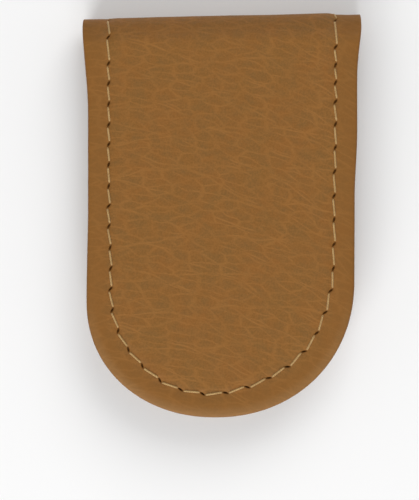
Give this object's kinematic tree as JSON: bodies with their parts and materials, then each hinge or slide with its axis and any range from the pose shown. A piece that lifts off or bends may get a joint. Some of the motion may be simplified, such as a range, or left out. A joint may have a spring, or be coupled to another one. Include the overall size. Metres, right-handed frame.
{
  "type": "money clip",
  "caption": "Folded leather magnetic money clip: a round-ended stitched strip whose two leaves fold over a stack of notes and are held together by hidden magnets.",
  "frame": {"origin": "on the surface that the back leaf lies on, under the middle of the closed clip", "axes": "+X across the clip, +Y from the rounded ends towards the fold, +Z from the back leaf up to the front leaf"},
  "size_m": [0.0484, 0.0706, 0.0106],
  "materials": {
    "outer_leather": "matte",
    "lining_leather": "matte",
    "thread": "matte",
    "magnet_board": "matte",
    "shield_steel": "satin",
    "magnet_plating": "polished"
  },
  "bodies": {
    "back_leaf": {"outer_leather_back": "outer_leather", "lining_leather_back": "lining_leather", "magnet_board_back": "magnet_board", "shield_plate_back": "shield_steel", "magnet_back_left": "magnet_plating", "magnet_back_right": "magnet_plating", "needle_thread_back": "thread", "bobbin_thread_back": "thread"},
    "fold_lower": {"outer_leather_fold_lower": "outer_leather", "lining_leather_fold_lower": "lining_leather", "needle_thread_fold_lower_left": "thread", "needle_thread_fold_lower_right": "thread", "bobbin_thread_fold_lower_left": "thread", "bobbin_thread_fold_lower_right": "thread"},
    "fold_middle": {"outer_leather_fold_middle": "outer_leather", "lining_leather_fold_middle": "lining_leather", "needle_thread_fold_middle_left": "thread", "needle_thread_fold_middle_right": "thread", "bobbin_thread_fold_middle_left": "thread", "bobbin_thread_fold_middle_right": "thread"},
    "fold_upper": {"outer_leather_fold_upper": "outer_leather", "lining_leather_fold_upper": "lining_leather", "needle_thread_fold_upper_left": "thread", "needle_thread_fold_upper_right": "thread", "bobbin_thread_fold_upper_left": "thread", "bobbin_thread_fold_upper_right": "thread"},
    "front_leaf": {"outer_leather_front": "outer_leather", "lining_leather_front": "lining_leather", "magnet_board_front": "magnet_board", "shield_plate_front": "shield_steel", "magnet_front_left": "magnet_plating", "magnet_front_right": "magnet_plating", "needle_thread_front": "thread", "bobbin_thread_front": "thread"}
  },
  "joints": [
    {"name": "fold_hinge_back", "type": "hinge", "parent": "back_leaf", "child": "fold_lower", "pos_m": [0, 0.03203, 0.00028], "axis": [-1, 0, 0], "range_deg": [-0.85, 45], "stiffness_Nm_per_rad": 0.2},
    {"name": "fold_hinge_lower", "type": "hinge", "parent": "fold_lower", "child": "fold_middle", "pos_m": [0, 0.03497, 0.00322], "axis": [-1, 0, 0], "range_deg": [-0.85, 45], "stiffness_Nm_per_rad": 0.2},
    {"name": "fold_hinge_upper", "type": "hinge", "parent": "fold_middle", "child": "fold_upper", "pos_m": [0, 0.03497, 0.00738], "axis": [-1, 0, 0], "range_deg": [-0.85, 45], "stiffness_Nm_per_rad": 0.2},
    {"name": "fold_hinge_front", "type": "hinge", "parent": "fold_upper", "child": "front_leaf", "pos_m": [0, 0.03203, 0.01032], "axis": [-1, 0, 0], "range_deg": [-0.85, 45], "stiffness_Nm_per_rad": 0.2}
  ]
}
